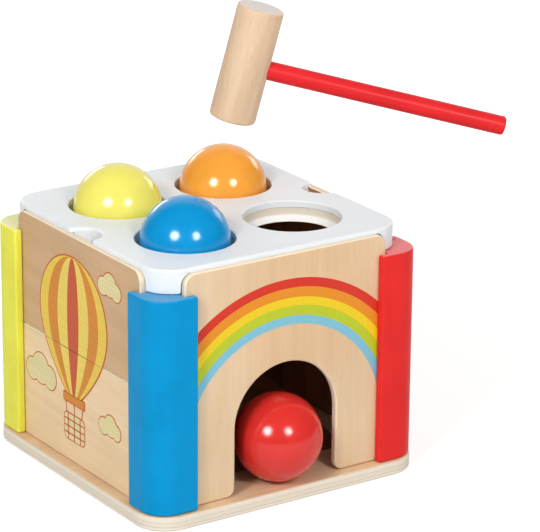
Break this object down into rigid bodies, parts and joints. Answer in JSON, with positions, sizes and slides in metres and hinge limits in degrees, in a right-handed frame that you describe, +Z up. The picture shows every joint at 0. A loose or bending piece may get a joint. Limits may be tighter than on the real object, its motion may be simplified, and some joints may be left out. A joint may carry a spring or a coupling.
{
  "type": "pounding bench",
  "caption": "Square wooden toy box whose lid grips balls in soft rings; a small hammer knocks them through and a ramp rolls them out of an arched gate.",
  "frame": {"origin": "centre of the base plate's underside, on the table", "axes": "+Z up, -Y towards the front with the arched gate, +X to the right of someone facing the gate"},
  "size_m": [0.2363, 0.1694, 0.2264],
  "materials": {
    "base_plywood": "satin clear lacquer over plywood",
    "panel_plywood": "satin clear lacquer over plywood",
    "side_boards": "satin clear lacquer",
    "inner_wood": "bare",
    "head_wood": "satin clear lacquer",
    "blue_lacquer": "gloss lacquer",
    "red_lacquer": "gloss lacquer",
    "yellow_lacquer": "gloss lacquer",
    "orange_lacquer": "gloss lacquer",
    "white_plastic": "satin moulded",
    "grip_rubber": "matt moulded",
    "screw_steel": "zinc plated"
  },
  "bodies": {
    "bench": {"base_plate": "base_plywood", "post_front_left": "blue_lacquer", "post_front_right": "red_lacquer", "post_back_left": "yellow_lacquer", "post_back_right": "orange_lacquer", "front_panel": "panel_plywood", "back_panel": "panel_plywood", "left_panel_upper": "side_boards", "left_panel_lower": "side_boards", "right_panel_upper": "side_boards", "right_panel_lower": "side_boards", "top_plate": "white_plastic", "grip_ring_front_left": "grip_rubber", "grip_ring_front_right": "grip_rubber", "grip_ring_back_left": "grip_rubber", "grip_ring_back_right": "grip_rubber", "ramp_board": "panel_plywood", "ramp_cleat": "inner_wood", "base_screw_front_left": "screw_steel", "base_screw_front_right": "screw_steel", "base_screw_back_left": "screw_steel", "base_screw_back_right": "screw_steel", "top_dowel_front_left": "inner_wood", "top_dowel_front_right": "inner_wood", "top_dowel_back_left": "inner_wood", "top_dowel_back_right": "inner_wood"},
    "blue_ball": {"ball_blue": "blue_lacquer"},
    "yellow_ball": {"ball_yellow": "yellow_lacquer"},
    "orange_ball": {"ball_orange": "orange_lacquer"},
    "red_ball": {"ball_red": "red_lacquer"},
    "hammer": {"hammer_head": "head_wood", "hammer_handle": "red_lacquer"}
  },
  "joints": [
    {"name": "blue_ball_drop", "type": "slide", "parent": "bench", "child": "blue_ball", "axis": [0, 0, -1], "range_m": [0, 0.0925], "deforming": ["grip_ring_front_left"]},
    {"name": "yellow_ball_drop", "type": "slide", "parent": "bench", "child": "yellow_ball", "axis": [0, 0, -1], "range_m": [0, 0.079], "deforming": ["grip_ring_back_left"]},
    {"name": "orange_ball_drop", "type": "slide", "parent": "bench", "child": "orange_ball", "axis": [0, 0, -1], "range_m": [0, 0.079], "deforming": ["grip_ring_back_right"]},
    {"name": "red_ball_roll", "type": "slide", "parent": "bench", "child": "red_ball", "axis": [0, -1, 0], "range_m": [0, 0.1]},
    {"name": "hammer_stroke", "type": "slide", "parent": "bench", "child": "hammer", "axis": [0, 0, -1], "range_m": [0, 0.015]}
  ]
}
